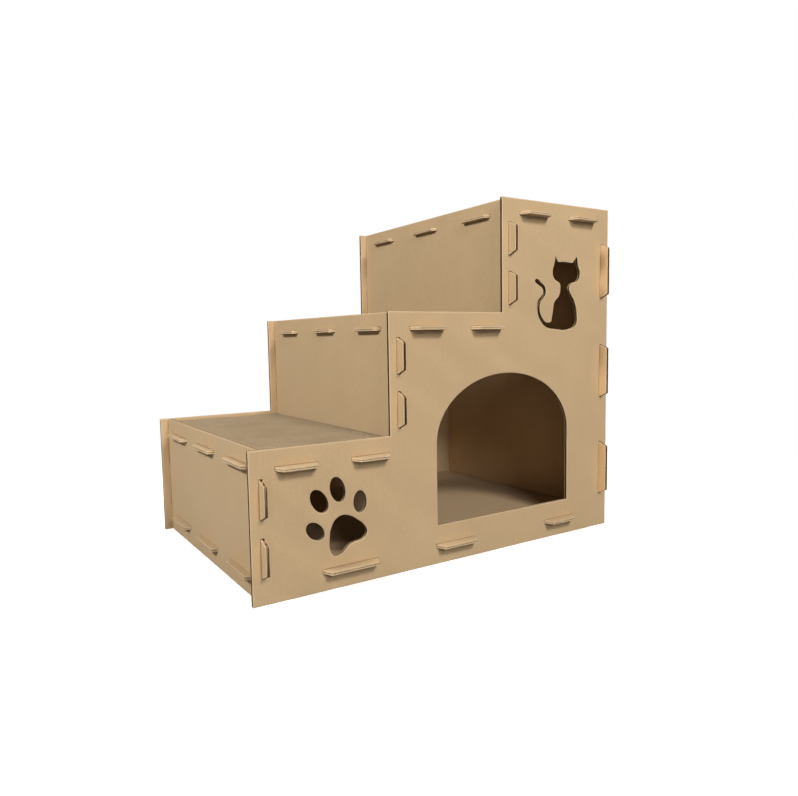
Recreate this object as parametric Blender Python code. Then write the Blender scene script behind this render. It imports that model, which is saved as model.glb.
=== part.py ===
"""Stepped cat house of slotted corrugated cardboard, with a loose scratch pad on each step.

Metres, +Z up. The origin is the middle of the footprint, on the ground. The door faces -Y and the
steps climb towards +X. Every board is one flat outline, cut once and given the board's thickness.
Its tabs and the slots that they pass through are worked out from the same named rows of tabs.
"""
import math
from typing import NamedTuple

import bpy

# Overall size
WIDTH = 0.600
DEPTH = 0.400
BOTTOM_TOP = 0.182
MIDDLE_TOP = 0.340
UPPER_TOP = 0.500
BOTTOM_RUN = WIDTH * 19 / 60
MIDDLE_RUN = WIDTH * 19 / 60

# Board, and how far the boards stand from each other
BOARD = 0.005
FIT_GAP = 0.0003
SLOT_CLEARANCE = 0.0004
WALL_INSET = 0.012
RISER_SKIRT = 0.025
FLOOR_HEIGHT = 0.022

# Tabs: how far they stand out of a slot in the front and back or in a side, how much each end of
# their tip is drawn in, and the rounding of the tip
FACE_TAB_PROUD = 0.014
FACE_TAB_TAPER = 0.0060
SIDE_TAB_PROUD = 0.009
SIDE_TAB_TAPER = 0.0045
TAB_CORNER = 0.0025
TAB_CORNER_STEPS = 4

# Scratch pads. Their strips run from front to back in bundles, with a groove between two bundles.
PAD_THICKNESS = 0.017
PAD_CLEARANCE = 0.0015
PAD_EDGE = 0.0008
PAD_BUNDLE = 0.025
GROOVE_DEPTH = 0.006
GROOVE_TOP = 0.0080
GROOVE_FOOT = 0.0056
BOTTOM_PANEL_DROP = 0.0215
MIDDLE_PANEL_DROP = 0.0190
TOP_PANEL_DROP = 0.0175

# Two tabs of a step in the front and back: length of one, and the distance between their middles,
# as shares of the step's inside width. They stand a little right of the middle of the step.
STEP_TAB_SHARE = 0.297
TOP_STEP_TAB_SHARE = 0.305
STEP_TAB_PITCH_SHARE = 0.545
TOP_STEP_TAB_PITCH_SHARE = 0.531
STEP_TAB_SHIFT = 0.0005

# Other rows of tabs: length of one tab, and the distance from one to the next
LEFT_SIDE_TAB = 0.077
SIDE_TAB = 0.062
SIDE_TAB_PITCH = 0.130
WALL_TAB = 0.047
WALL_TAB_PITCH = 0.069
RIGHT_WALL_TAB = 0.083
RIGHT_WALL_TAB_PITCH = 0.155

# Tabs of the floor along the front and back: place from the middle of the house and length,
# as shares of the floor's width
FLOOR_TAB_LEFT_SHARE = -0.302
FLOOR_TAB_LEFT_LENGTH_SHARE = 0.139
FLOOR_TAB_MIDDLE_SHARE = -0.010
FLOOR_TAB_MIDDLE_LENGTH_SHARE = 0.119
FLOOR_TAB_RIGHT_SHARE = 0.340
FLOOR_TAB_RIGHT_LENGTH_SHARE = 0.105

# Arched doorway
DOOR_MIDDLE = 0.087
DOOR_WIDTH = 0.248
DOOR_SILL = 0.053
DOOR_SPRING = 0.164
DOOR_RISE = 0.0905
DOOR_STEPS = 48

# Paw print window: place of its main pad, and the sizes of the pad and toes
PAW_FROM_LEFT = 0.122
PAW_HEIGHT = 0.068
PAW_TILT = math.radians(24.0)
PAW_PAD = (
    (0.0, 0.0232), (0.0133, 0.0172), (0.0215, 0.0055), (0.0272, -0.0075),
    (0.0262, -0.0168), (0.0182, -0.0208), (0.0085, -0.0188),
)
PAW_PAD_NOTCH = (0.0, -0.0170)
OUTER_TOE = (0.0342, 0.0240)
OUTER_TOE_LONG = 0.0142
OUTER_TOE_WIDE = 0.0094
OUTER_TOE_LEAN = math.radians(24.0)
INNER_TOE = (0.0138, 0.0542)
INNER_TOE_LONG = 0.0164
INNER_TOE_WIDE = 0.0102
INNER_TOE_LEAN = math.radians(8.0)
TOE_STEPS = 32

# Sitting cat window: place of the middle of its base, and its outline from there.
# A point marked sharp is a corner, and the outline runs smoothly through the others.
CAT_FROM_RIGHT = 0.0975
CAT_ABOVE_DOOR = 0.0620
SHARP = True
CAT_OUTLINE = (
    (-0.0250, 0.0000), (0.0160, 0.0000), (0.0275, 0.0070), (0.0288, 0.0220),
    (0.0235, 0.0405), (0.0155, 0.0520), (0.0112, 0.0600), (0.0160, 0.0672),
    (0.0305, 0.0730), (0.0350, 0.0835), (0.0310, 0.0955, SHARP), (0.0285, 0.1085, SHARP),
    (0.0190, 0.0985, SHARP), (0.0030, 0.0993), (-0.0120, 0.0985, SHARP),
    (-0.0172, 0.1070, SHARP), (-0.0198, 0.0950, SHARP), (-0.0235, 0.0835),
    (-0.0195, 0.0732), (-0.0082, 0.0668), (-0.0070, 0.0590), (-0.0095, 0.0490),
    (-0.0195, 0.0390), (-0.0228, 0.0240), (-0.0262, 0.0100, SHARP), (-0.0350, 0.0088),
    (-0.0445, 0.0160), (-0.0496, 0.0270), (-0.0484, 0.0375), (-0.0418, 0.0448),
    (-0.0374, 0.0520), (-0.0388, 0.0610), (-0.0462, 0.0668), (-0.0560, 0.0724),
    (-0.0592, 0.0692), (-0.0510, 0.0630), (-0.0440, 0.0582), (-0.0424, 0.0524),
    (-0.0466, 0.0474), (-0.0530, 0.0408), (-0.0548, 0.0300), (-0.0512, 0.0168),
    (-0.0425, 0.0060), (-0.0335, 0.0012),
)
SMOOTH_STEPS = 4

# Colours of the kraft board and of the pads
KRAFT = (0.560, 0.385, 0.215, 1.0)
KRAFT_SHADE = (0.500, 0.340, 0.190, 1.0)
PAD_KRAFT = (0.380, 0.275, 0.155, 1.0)
KRAFT_ROUGHNESS = 0.85


class Tip(NamedTuple):
    """How far a tab stands out of its slot, and how much each end of it is drawn in."""

    proud: float
    taper: float


class Tab(NamedTuple):
    """A tab's place along its edge, in the house's own coordinates, its length and its tip."""

    middle: float
    length: float
    tip: Tip


class Span(NamedTuple):
    """Two ends of a board or pad along one axis."""

    low: float
    high: float

    @property
    def middle(self):
        return (self.low + self.high) / 2

    @property
    def length(self):
        return self.high - self.low


def row(middle, pitch, count, length, tip):
    """Evenly spaced tabs about a middle."""
    first = middle - pitch * (count - 1) / 2
    return [Tab(first + pitch * number, length, tip) for number in range(count)]


def step_row(bay, tab_share, pitch_share):
    """The two tabs of a step, spread over its bay."""
    return row(
        bay.middle + STEP_TAB_SHIFT, bay.length * pitch_share, 2, bay.length * tab_share, FACE_TIP
    )


def floor_tab(place_share, length_share):
    """One tab of the floor, placed over the floor's bay."""
    middle = FLOOR_BAY.middle + FLOOR_BAY.length * place_share
    return Tab(middle, FLOOR_BAY.length * length_share, FACE_TIP)


# Places that follow from the sizes above
FACE_TIP = Tip(FACE_TAB_PROUD, FACE_TAB_TAPER)
SIDE_TIP = Tip(SIDE_TAB_PROUD, SIDE_TAB_TAPER)
LEFT = -WIDTH / 2
RIGHT = WIDTH / 2
FRONT = -DEPTH / 2
BACK = DEPTH / 2
MIDDLE_LEFT = LEFT + BOTTOM_RUN
UPPER_LEFT = MIDDLE_LEFT + MIDDLE_RUN

LEFT_WALL = Span(LEFT + WALL_INSET, LEFT + WALL_INSET + BOARD)
LOWER_RISER = Span(MIDDLE_LEFT + WALL_INSET, MIDDLE_LEFT + WALL_INSET + BOARD)
UPPER_RISER = Span(UPPER_LEFT + WALL_INSET, UPPER_LEFT + WALL_INSET + BOARD)
RIGHT_WALL = Span(RIGHT - WALL_INSET - BOARD, RIGHT - WALL_INSET)
INSIDE = Span(FRONT + BOARD, BACK - BOARD)

FLOOR = Span(FLOOR_HEIGHT, FLOOR_HEIGHT + BOARD)
BOTTOM_PANEL = Span(BOTTOM_TOP - BOTTOM_PANEL_DROP - BOARD, BOTTOM_TOP - BOTTOM_PANEL_DROP)
MIDDLE_PANEL = Span(MIDDLE_TOP - MIDDLE_PANEL_DROP - BOARD, MIDDLE_TOP - MIDDLE_PANEL_DROP)
TOP_PANEL = Span(UPPER_TOP - TOP_PANEL_DROP - BOARD, UPPER_TOP - TOP_PANEL_DROP)

BOTTOM_BAY = Span(LEFT_WALL.high, LOWER_RISER.low)
MIDDLE_BAY = Span(LOWER_RISER.high, UPPER_RISER.low)
TOP_BAY = Span(UPPER_RISER.high, RIGHT_WALL.low)
FLOOR_BAY = Span(LEFT_WALL.high, RIGHT_WALL.low)

BOTTOM_TABS = step_row(BOTTOM_BAY, STEP_TAB_SHARE, STEP_TAB_PITCH_SHARE)
MIDDLE_TABS = step_row(MIDDLE_BAY, STEP_TAB_SHARE, STEP_TAB_PITCH_SHARE)
TOP_TABS = step_row(TOP_BAY, TOP_STEP_TAB_SHARE, TOP_STEP_TAB_PITCH_SHARE)
FLOOR_TABS = [
    floor_tab(FLOOR_TAB_LEFT_SHARE, FLOOR_TAB_LEFT_LENGTH_SHARE),
    floor_tab(FLOOR_TAB_MIDDLE_SHARE, FLOOR_TAB_MIDDLE_LENGTH_SHARE),
    floor_tab(FLOOR_TAB_RIGHT_SHARE, FLOOR_TAB_RIGHT_LENGTH_SHARE),
]
LEFT_SIDE_TABS = row(INSIDE.middle, SIDE_TAB_PITCH, 3, LEFT_SIDE_TAB, SIDE_TIP)
SIDE_TABS = row(INSIDE.middle, SIDE_TAB_PITCH, 3, SIDE_TAB, SIDE_TIP)

LEFT_WALL_TABS = row(
    (FLOOR.middle + BOTTOM_PANEL.low) / 2, WALL_TAB_PITCH, 2, WALL_TAB, FACE_TIP
)
LOWER_RISER_TABS = row(
    (BOTTOM_TOP + MIDDLE_PANEL.low) / 2, WALL_TAB_PITCH, 2, WALL_TAB, FACE_TIP
)
UPPER_RISER_TABS = row(
    (MIDDLE_TOP + TOP_PANEL.low) / 2, WALL_TAB_PITCH, 2, WALL_TAB, FACE_TIP
)
RIGHT_WALL_TABS = row(
    (FLOOR.low + TOP_PANEL.low) / 2, RIGHT_WALL_TAB_PITCH, 3, RIGHT_WALL_TAB, FACE_TIP
)


def rounded(before, corner, after, radius, steps):
    """Arc that rounds a corner between two straight edges."""
    to_before = (before[0] - corner[0], before[1] - corner[1])
    to_after = (after[0] - corner[0], after[1] - corner[1])
    length_before = math.hypot(*to_before)
    length_after = math.hypot(*to_after)
    u = (to_before[0] / length_before, to_before[1] / length_before)
    v = (to_after[0] / length_after, to_after[1] / length_after)
    half_angle = math.acos(u[0] * v[0] + u[1] * v[1]) / 2
    bisector = (u[0] + v[0], u[1] + v[1])
    reach = radius / math.sin(half_angle) / math.hypot(*bisector)
    centre = (corner[0] + bisector[0] * reach, corner[1] + bisector[1] * reach)
    back = radius / math.tan(half_angle)
    start = math.atan2(corner[1] + u[1] * back - centre[1], corner[0] + u[0] * back - centre[0])
    end = math.atan2(corner[1] + v[1] * back - centre[1], corner[0] + v[0] * back - centre[0])
    turn = (end - start + math.pi) % (2 * math.pi) - math.pi
    return [
        (centre[0] + radius * math.cos(start + turn * step / steps),
         centre[1] + radius * math.sin(start + turn * step / steps))
        for step in range(steps + 1)
    ]


def tab_outline(tab):
    """A tab as (along, out) points: straight through the slot, then drawn in to a rounded tip."""
    half = tab.length / 2
    straight = FIT_GAP + BOARD
    reach = straight + tab.tip.proud
    shoulder = (-half, straight)
    corner = (-half + tab.tip.taper, reach)
    other_corner = (half - tab.tip.taper, reach)
    left_side = [(-half, 0.0), shoulder] + rounded(
        shoulder, corner, other_corner, TAB_CORNER, TAB_CORNER_STEPS
    )
    right_side = [(-along, out) for along, out in reversed(left_side)]
    return left_side + right_side


def tabbed_edge(start, end, tabs):
    """Points from start up to end, with the tabs standing out on the right hand side."""
    length = math.hypot(end[0] - start[0], end[1] - start[1])
    ahead = ((end[0] - start[0]) / length, (end[1] - start[1]) / length)
    out = (ahead[1], -ahead[0])
    axis = 0 if abs(ahead[0]) > abs(ahead[1]) else 1
    points = [start]
    for tab in sorted(tabs, key=lambda tab: tab.middle * ahead[axis]):
        middle = (tab.middle - start[axis]) * ahead[axis]
        for along, reach in tab_outline(tab):
            points.append((
                start[0] + ahead[0] * (middle + along) + out[0] * reach,
                start[1] + ahead[1] * (middle + along) + out[1] * reach,
            ))
    return points


def tabbed_board(across, up, low_tabs=(), high_tabs=(), left_tabs=(), right_tabs=()):
    """Outline of a rectangular board: across by up, with tabs on its four edges."""
    corners = [
        (across.low, up.low), (across.high, up.low), (across.high, up.high), (across.low, up.high)
    ]
    outline = tabbed_edge(corners[0], corners[1], low_tabs)
    outline += tabbed_edge(corners[1], corners[2], right_tabs)
    outline += tabbed_edge(corners[2], corners[3], high_tabs)
    outline += tabbed_edge(corners[3], corners[0], left_tabs)
    return outline


def flat_slots(tabs, board):
    """Slots for a board that lies flat: its tabs lie side by side at one height."""
    return [slot(tab.middle, board.middle, tab.length, BOARD) for tab in tabs]


def upright_slots(tabs, board):
    """Slots for a board that stands: its tabs are above one another at one place."""
    return [slot(board.middle, tab.middle, BOARD, tab.length) for tab in tabs]


def slot(middle_across, middle_up, across, up):
    """A rectangular slot around a tab's section, with the clearance on every side."""
    half_across = across / 2 + SLOT_CLEARANCE
    half_up = up / 2 + SLOT_CLEARANCE
    return [
        (middle_across - half_across, middle_up - half_up),
        (middle_across + half_across, middle_up - half_up),
        (middle_across + half_across, middle_up + half_up),
        (middle_across - half_across, middle_up + half_up),
    ]


def staircase_outline():
    """Outline of the front and back panels, seen from the front."""
    return [
        (LEFT, 0.0), (RIGHT, 0.0), (RIGHT, UPPER_TOP), (UPPER_LEFT, UPPER_TOP),
        (UPPER_LEFT, MIDDLE_TOP), (MIDDLE_LEFT, MIDDLE_TOP), (MIDDLE_LEFT, BOTTOM_TOP),
        (LEFT, BOTTOM_TOP),
    ]


def panel_slots():
    """Every slot that the front and back panels share."""
    return (
        flat_slots(BOTTOM_TABS, BOTTOM_PANEL)
        + flat_slots(MIDDLE_TABS, MIDDLE_PANEL)
        + flat_slots(TOP_TABS, TOP_PANEL)
        + flat_slots(FLOOR_TABS, FLOOR)
        + upright_slots(LEFT_WALL_TABS, LEFT_WALL)
        + upright_slots(LOWER_RISER_TABS, LOWER_RISER)
        + upright_slots(UPPER_RISER_TABS, UPPER_RISER)
        + upright_slots(RIGHT_WALL_TABS, RIGHT_WALL)
    )


def doorway():
    """Straight jambs from the sill, under half an ellipse."""
    half = DOOR_WIDTH / 2
    points = [(DOOR_MIDDLE - half, DOOR_SILL), (DOOR_MIDDLE + half, DOOR_SILL)]
    for step in range(DOOR_STEPS + 1):
        angle = math.pi * step / DOOR_STEPS
        points.append(
            (DOOR_MIDDLE + half * math.cos(angle), DOOR_SPRING + DOOR_RISE * math.sin(angle))
        )
    return points


def toe(middle, half_long, half_wide, lean):
    """Oval toe in the paw's own frame. A positive lean tips its top towards -X."""
    points = []
    for step in range(TOE_STEPS):
        angle = 2 * math.pi * step / TOE_STEPS
        wide = half_wide * math.cos(angle)
        long = half_long * math.sin(angle)
        points.append((
            middle[0] + wide * math.cos(lean) - long * math.sin(lean),
            middle[1] + wide * math.sin(lean) + long * math.cos(lean),
        ))
    return points


def paw_place(point):
    """A point of the paw's own frame, turned and put in its place on the panel."""
    cos, sin = math.cos(PAW_TILT), math.sin(PAW_TILT)
    return (
        LEFT + PAW_FROM_LEFT + point[0] * cos - point[1] * sin,
        PAW_HEIGHT + point[0] * sin + point[1] * cos,
    )


def paw_toes():
    """The four toes, two on each side of the paw's middle line."""
    toes = []
    for side in (-1, 1):
        outer = (side * OUTER_TOE[0], OUTER_TOE[1])
        inner = (side * INNER_TOE[0], INNER_TOE[1])
        toes.append(toe(outer, OUTER_TOE_LONG, OUTER_TOE_WIDE, -side * OUTER_TOE_LEAN))
        toes.append(toe(inner, INNER_TOE_LONG, INNER_TOE_WIDE, -side * INNER_TOE_LEAN))
    return [[paw_place(point) for point in points] for points in toes]


def paw_pad():
    """The paw's main pad: one half, the notch below, and the half again mirrored."""
    mirrored = [(-x, y) for x, y in reversed(PAW_PAD[1:])]
    return [(*paw_place(point), False) for point in (*PAW_PAD, PAW_PAD_NOTCH, *mirrored)]


def cat():
    """The sitting cat, in its place above the doorway's right shoulder."""
    base = (RIGHT - CAT_FROM_RIGHT, DOOR_SPRING + DOOR_RISE + CAT_ABOVE_DOOR)
    return [
        (base[0] + point[0], base[1] + point[1], len(point) > 2) for point in CAT_OUTLINE
    ]


def add_straight_loop(curve, points):
    """Closed loop of straight pieces."""
    spline = curve.splines.new("POLY")
    spline.points.add(len(points) - 1)
    for knot, (x, y) in zip(spline.points, points):
        knot.co = (x, y, 0.0, 1.0)
    spline.use_cyclic_u = True


def add_smooth_loop(curve, points):
    """Closed loop that runs smoothly through its points, with corners where one is sharp."""
    spline = curve.splines.new("BEZIER")
    spline.bezier_points.add(len(points) - 1)
    for knot, (x, y, sharp) in zip(spline.bezier_points, points):
        knot.co = (x, y, 0.0)
        knot.handle_left_type = "VECTOR" if sharp else "AUTO"
        knot.handle_right_type = "VECTOR" if sharp else "AUTO"
    spline.use_cyclic_u = True
    spline.resolution_u = SMOOTH_STEPS


def make_material(name, colour):
    """Plain matt paper of one colour."""
    material = bpy.data.materials.new(name)
    material.use_nodes = True
    shader = material.node_tree.nodes["Principled BSDF"]
    shader.inputs["Base Color"].default_value = colour
    shader.inputs["Roughness"].default_value = KRAFT_ROUGHNESS
    shader.inputs["Metallic"].default_value = 0.0
    return material


def make_board(
    name, colour, outline, location, rotation, holes=(), smooth_holes=(), thickness=BOARD
):
    """One board: a filled flat outline with its holes, as thick as the cardboard."""
    curve = bpy.data.curves.new(name, "CURVE")
    curve.dimensions = "2D"
    curve.fill_mode = "BOTH"
    curve.extrude = thickness / 2
    add_straight_loop(curve, outline)
    for points in holes:
        add_straight_loop(curve, points)
    for points in smooth_holes:
        add_smooth_loop(curve, points)
    curve.materials.append(make_material(name + "_kraft", colour))
    board = bpy.data.objects.new(name, curve)
    board.location = location
    board.rotation_euler = rotation
    return board


def make_face_panel(name, colour, y, holes=(), smooth_holes=()):
    """The front or back panel. Its outline's own axes are the house's X and Z."""
    return make_board(
        name, colour, staircase_outline(), (0.0, y, 0.0), (math.pi / 2, 0.0, 0.0),
        panel_slots() + list(holes), smooth_holes,
    )


def make_wall(name, colour, place, up, end_tabs, holes):
    """A wall or riser between the two panels. Its outline's own axes are the house's Y and Z."""
    along = Span(INSIDE.low + FIT_GAP, INSIDE.high - FIT_GAP)
    outline = tabbed_board(along, up, left_tabs=end_tabs, right_tabs=end_tabs)
    return make_board(
        name, colour, outline, (place.middle, 0.0, 0.0), (math.pi / 2, 0.0, math.pi / 2), holes
    )


def make_flat_panel(name, colour, place, bay, face_tabs, left_tabs, right_tabs):
    """The floor or a step panel. Its outline's own axes are the house's X and Y."""
    across = Span(bay.low + FIT_GAP, bay.high - FIT_GAP)
    deep = Span(INSIDE.low + FIT_GAP, INSIDE.high - FIT_GAP)
    outline = tabbed_board(across, deep, face_tabs, face_tabs, left_tabs, right_tabs)
    return make_board(name, colour, outline, (0.0, 0.0, place.middle), (0.0, 0.0, 0.0))


def pad_profile(across):
    """A pad seen along its strips: a slab with softened edges, grooved between its bundles."""
    half, top, soft = across / 2, PAD_THICKNESS, PAD_EDGE
    bundles = round(across / PAD_BUNDLE)
    grooves = []
    for number in range(bundles - 1, 0, -1):
        middle = across * (number / bundles - 0.5)
        grooves += [
            (middle + GROOVE_TOP / 2, top), (middle + GROOVE_FOOT / 2, top - GROOVE_DEPTH),
            (middle - GROOVE_FOOT / 2, top - GROOVE_DEPTH), (middle - GROOVE_TOP / 2, top),
        ]
    right = [(half - soft, 0.0), (half, soft), (half, top - soft), (half - soft, top)]
    left = [(-x, y) for x, y in reversed(right)]
    return right + grooves + left


def make_pad(name, panel, bay):
    """A scratch pad: bundles of strips in one slab that drops loosely on to its step panel."""
    return make_board(
        name, PAD_KRAFT, pad_profile(bay.length - 2 * PAD_CLEARANCE),
        (bay.middle, INSIDE.middle, panel.high + FIT_GAP), (math.pi / 2, 0.0, 0.0),
        thickness=INSIDE.length - 2 * PAD_CLEARANCE,
    )


def make_boards():
    """The ten boards that hook together into the house."""
    return [
        make_face_panel(
            "front_panel", KRAFT, FRONT + BOARD / 2,
            [doorway(), *paw_toes()], [paw_pad(), cat()],
        ),
        make_face_panel("back_panel", KRAFT_SHADE, BACK - BOARD / 2),
        make_wall(
            "left_wall", KRAFT_SHADE, LEFT_WALL, Span(0.0, BOTTOM_TOP), LEFT_WALL_TABS,
            flat_slots(LEFT_SIDE_TABS, BOTTOM_PANEL) + flat_slots(LEFT_SIDE_TABS, FLOOR),
        ),
        make_wall(
            "lower_riser", KRAFT_SHADE, LOWER_RISER,
            Span(BOTTOM_PANEL.low - RISER_SKIRT, MIDDLE_TOP), LOWER_RISER_TABS,
            flat_slots(SIDE_TABS, BOTTOM_PANEL) + flat_slots(SIDE_TABS, MIDDLE_PANEL),
        ),
        make_wall(
            "upper_riser", KRAFT_SHADE, UPPER_RISER,
            Span(MIDDLE_PANEL.low - RISER_SKIRT, UPPER_TOP), UPPER_RISER_TABS,
            flat_slots(SIDE_TABS, MIDDLE_PANEL) + flat_slots(SIDE_TABS, TOP_PANEL),
        ),
        make_wall(
            "right_wall", KRAFT_SHADE, RIGHT_WALL, Span(0.0, UPPER_TOP), RIGHT_WALL_TABS,
            flat_slots(SIDE_TABS, TOP_PANEL) + flat_slots(SIDE_TABS, FLOOR),
        ),
        make_flat_panel(
            "bottom_step_panel", KRAFT, BOTTOM_PANEL, BOTTOM_BAY,
            BOTTOM_TABS, LEFT_SIDE_TABS, SIDE_TABS,
        ),
        make_flat_panel(
            "middle_step_panel", KRAFT, MIDDLE_PANEL, MIDDLE_BAY,
            MIDDLE_TABS, SIDE_TABS, SIDE_TABS,
        ),
        make_flat_panel(
            "top_step_panel", KRAFT, TOP_PANEL, TOP_BAY, TOP_TABS, SIDE_TABS, SIDE_TABS
        ),
        make_flat_panel(
            "floor_panel", KRAFT, FLOOR, FLOOR_BAY, FLOOR_TABS, LEFT_SIDE_TABS, SIDE_TABS
        ),
    ]


def make_pads():
    """The three loose scratch pads, each with its origin on the line that it lifts along."""
    return [
        make_pad("bottom_scratch_pad", BOTTOM_PANEL, BOTTOM_BAY),
        make_pad("middle_scratch_pad", MIDDLE_PANEL, MIDDLE_BAY),
        make_pad("top_scratch_pad", TOP_PANEL, TOP_BAY),
    ]


def gather(parts, root):
    """Put the parts in the house's own collection, under one empty at its origin."""
    collection = bpy.data.collections.new("cat_scratcher_house")
    bpy.context.scene.collection.children.link(collection)
    collection.objects.link(root)
    for part in parts:
        for other in list(part.users_collection):
            other.objects.unlink(part)
        collection.objects.link(part)
        part.parent = root


def main():
    for old in list(bpy.data.objects):
        bpy.data.objects.remove(old, do_unlink=True)
    root = bpy.data.objects.new("house_origin", None)
    gather(make_boards() + make_pads(), root)
    bpy.context.view_layer.update()


main()
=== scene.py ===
"""Looks of the stepped cardboard cat house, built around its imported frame.

Each board of the frame becomes real corrugated board: two paper liners with softly crushed cut
edges, and a fluted medium between them that shows at every cut edge, slot and window. Each scratch
pad becomes rows of fluted strips that stand on edge. Sizes are in metres.
"""

from __future__ import annotations

import logging
import math
from dataclasses import dataclass, field
from enum import Enum
from typing import Sequence

import bmesh
import bpy
import numpy as np
from bmesh.types import BMEdge, BMesh, BMFace, BMVert
from bpy.types import ID, Material, Mesh, Node, NodeTree, Object
from bpy.types import NodeSocket as Socket
from mathutils import Matrix, Vector, noise

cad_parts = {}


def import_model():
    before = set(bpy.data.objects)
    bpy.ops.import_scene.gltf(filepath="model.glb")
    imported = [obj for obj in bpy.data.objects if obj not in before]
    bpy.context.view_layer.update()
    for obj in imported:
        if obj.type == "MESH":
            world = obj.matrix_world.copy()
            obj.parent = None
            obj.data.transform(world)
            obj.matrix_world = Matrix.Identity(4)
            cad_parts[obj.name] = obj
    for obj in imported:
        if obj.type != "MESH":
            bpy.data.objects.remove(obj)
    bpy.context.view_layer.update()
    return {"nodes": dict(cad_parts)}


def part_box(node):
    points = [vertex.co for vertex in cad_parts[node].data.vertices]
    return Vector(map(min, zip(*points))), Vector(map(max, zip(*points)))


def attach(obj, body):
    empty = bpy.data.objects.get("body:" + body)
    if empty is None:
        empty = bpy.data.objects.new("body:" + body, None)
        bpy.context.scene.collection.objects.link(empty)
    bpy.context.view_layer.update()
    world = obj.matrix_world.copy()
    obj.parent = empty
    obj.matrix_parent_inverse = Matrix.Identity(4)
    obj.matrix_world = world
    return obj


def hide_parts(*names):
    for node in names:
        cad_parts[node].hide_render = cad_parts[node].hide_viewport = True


LOG = logging.getLogger("cat_house")

PHOTO_WIDTH_PX = 798
WELD = 1e-5
FLUTE_PITCH = 0.008
# Keeps the mitre of a sharp corner short
SHARPEST_MITRE = 0.45

Colour = tuple[float, float, float, float]
Loop = np.ndarray
Ring = list[BMVert]
Inputs = dict[str | int, object]


def put_in_scene(name: str, data: ID) -> Object:
    """Make an object of a mesh, a lamp or a camera, and link it to the scene.

    Args:
        name: The object's name.
        data: What it shows.

    Returns:
        The object.
    """
    made = bpy.data.objects.new(name, data)
    bpy.context.scene.collection.objects.link(made)
    return made


def tone(red: float, green: float, blue: float) -> Colour:
    """An opaque colour in linear light."""
    return (red, green, blue, 1.0)


class Axis(Enum):
    """A direction of the house."""

    X = (1.0, 0.0, 0.0)
    Y = (0.0, 1.0, 0.0)
    Z = (0.0, 0.0, 1.0)

    @property
    def vector(self) -> Vector:
        """The direction as a unit vector."""
        return Vector(self.value)


class Part(Enum):
    """What a face of a corrugated board is, in the order of the board's material slots."""

    FACE = 0
    CUT = 1
    MEDIUM = 2
    # Faces turned into the house, in the lighter liner of painted light
    INNER = 3


class SocketTree:
    """A node tree, built by calls that return sockets."""

    def __init__(self, tree: NodeTree) -> None:
        """Take the tree that the calls fill."""
        self.tree = tree

    def node(self, kind: str, inputs: Inputs | None = None, **settings: object) -> Node:
        """Add a node.

        Args:
            kind: Blender's name of the node's type.
            inputs: What goes into each input: a socket or a constant.
            settings: Properties of the node.

        Returns:
            The new node.
        """
        node = self.tree.nodes.new(kind)
        for name, value in settings.items():
            setattr(node, name, value)
        for key, value in (inputs or {}).items():
            if isinstance(value, Socket):
                self.tree.links.new(value, node.inputs[key])
            else:
                node.inputs[key].default_value = value
        return node

    def output(self, kind: str, inputs: Inputs | None = None, **settings: object) -> Socket:
        """Add a node, and give its first output."""
        return self.node(kind, inputs, **settings).outputs[0]

    def math(self, operation: str, first: object, second: object = 0.0) -> Socket:
        """One operation on two values."""
        return self.output("ShaderNodeMath", {0: first, 1: second}, operation=operation)

    def times(self, first: object, second: object) -> Socket:
        """The product of two values."""
        return self.math("MULTIPLY", first, second)

    def spread(self, value: Socket, low: float, high: float, to_low: float, to_high: float) -> Socket:
        """Map a value from one span to another, held at both ends.

        Args:
            value: What to map.
            low: Value that gives to_low.
            high: Value that gives to_high.
            to_low: Result at low.
            to_high: Result at high.

        Returns:
            The mapped value.
        """
        spans = {"From Min": low, "From Max": high, "To Min": to_low, "To Max": to_high}
        return self.node("ShaderNodeMapRange", {"Value": value, **spans}).outputs["Result"]


def seen_directly(graph: SocketTree) -> Socket:
    """Tell what the camera sees from what only lights the house.

    Args:
        graph: The tree of a floor or a world.

    Returns:
        1 for what the camera sees, straight or by way of a shine or glass, and 0 for light.
    """
    path = graph.node("ShaderNodeLightPath").outputs
    shine = graph.math("MAXIMUM", path["Is Glossy Ray"], path["Is Transmission Ray"])
    return graph.math("MAXIMUM", path["Is Camera Ray"], shine)


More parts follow.
